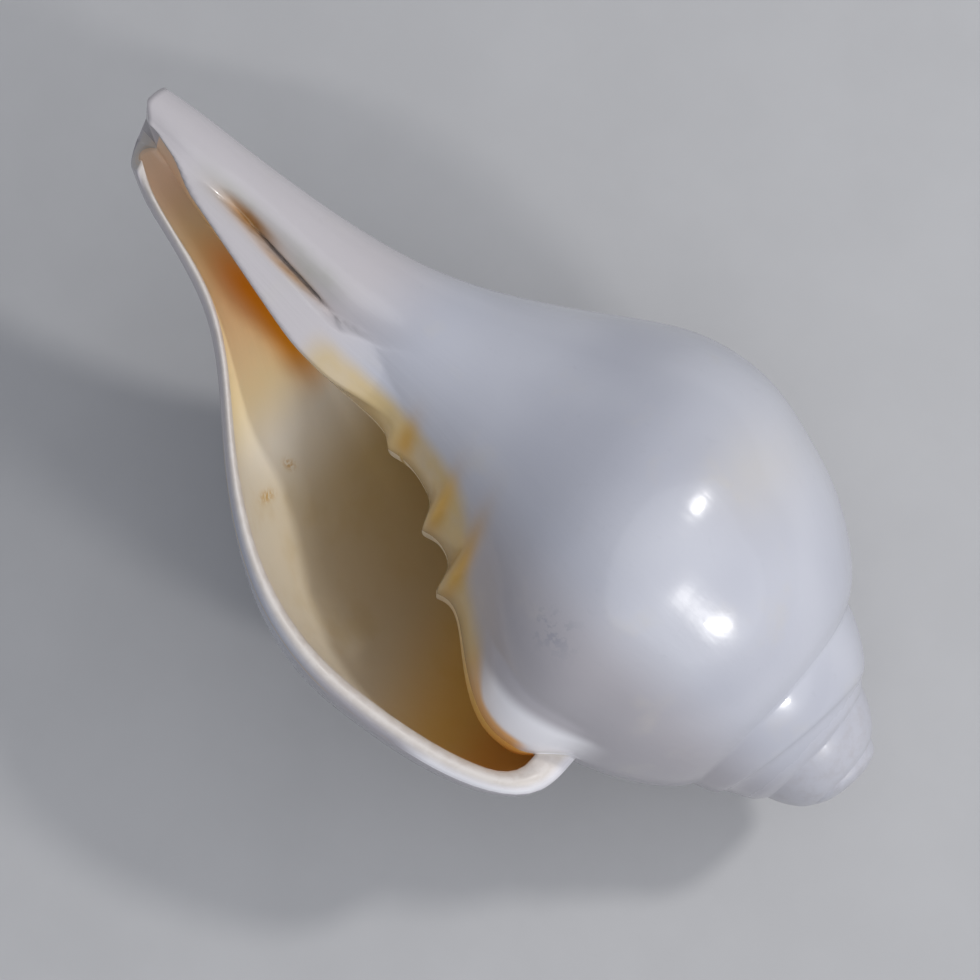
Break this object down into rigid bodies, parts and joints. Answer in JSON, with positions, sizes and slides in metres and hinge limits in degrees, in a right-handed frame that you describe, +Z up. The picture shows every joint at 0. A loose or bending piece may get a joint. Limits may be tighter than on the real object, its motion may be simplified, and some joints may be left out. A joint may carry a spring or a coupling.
{
  "type": "chank shell",
  "caption": "White polished sea snail shell with a swollen body whorl, a short blunt spire, a long mouth with pillar folds and an open canal, lying with its mouth up.",
  "frame": {"origin": "centre of the bounding box in X and Y, on the surface that the shell lies on", "axes": "+Z up, out of the mouth; +X along the shell's length towards the apex; the lip is on the -Y side"},
  "size_m": [0.1284, 0.072, 0.0606],
  "materials": {
    "shell": "polished white shell, bluish outside, cream and tan inside the mouth"
  },
  "bodies": {
    "root": {"shell": "shell"}
  },
  "joints": []
}
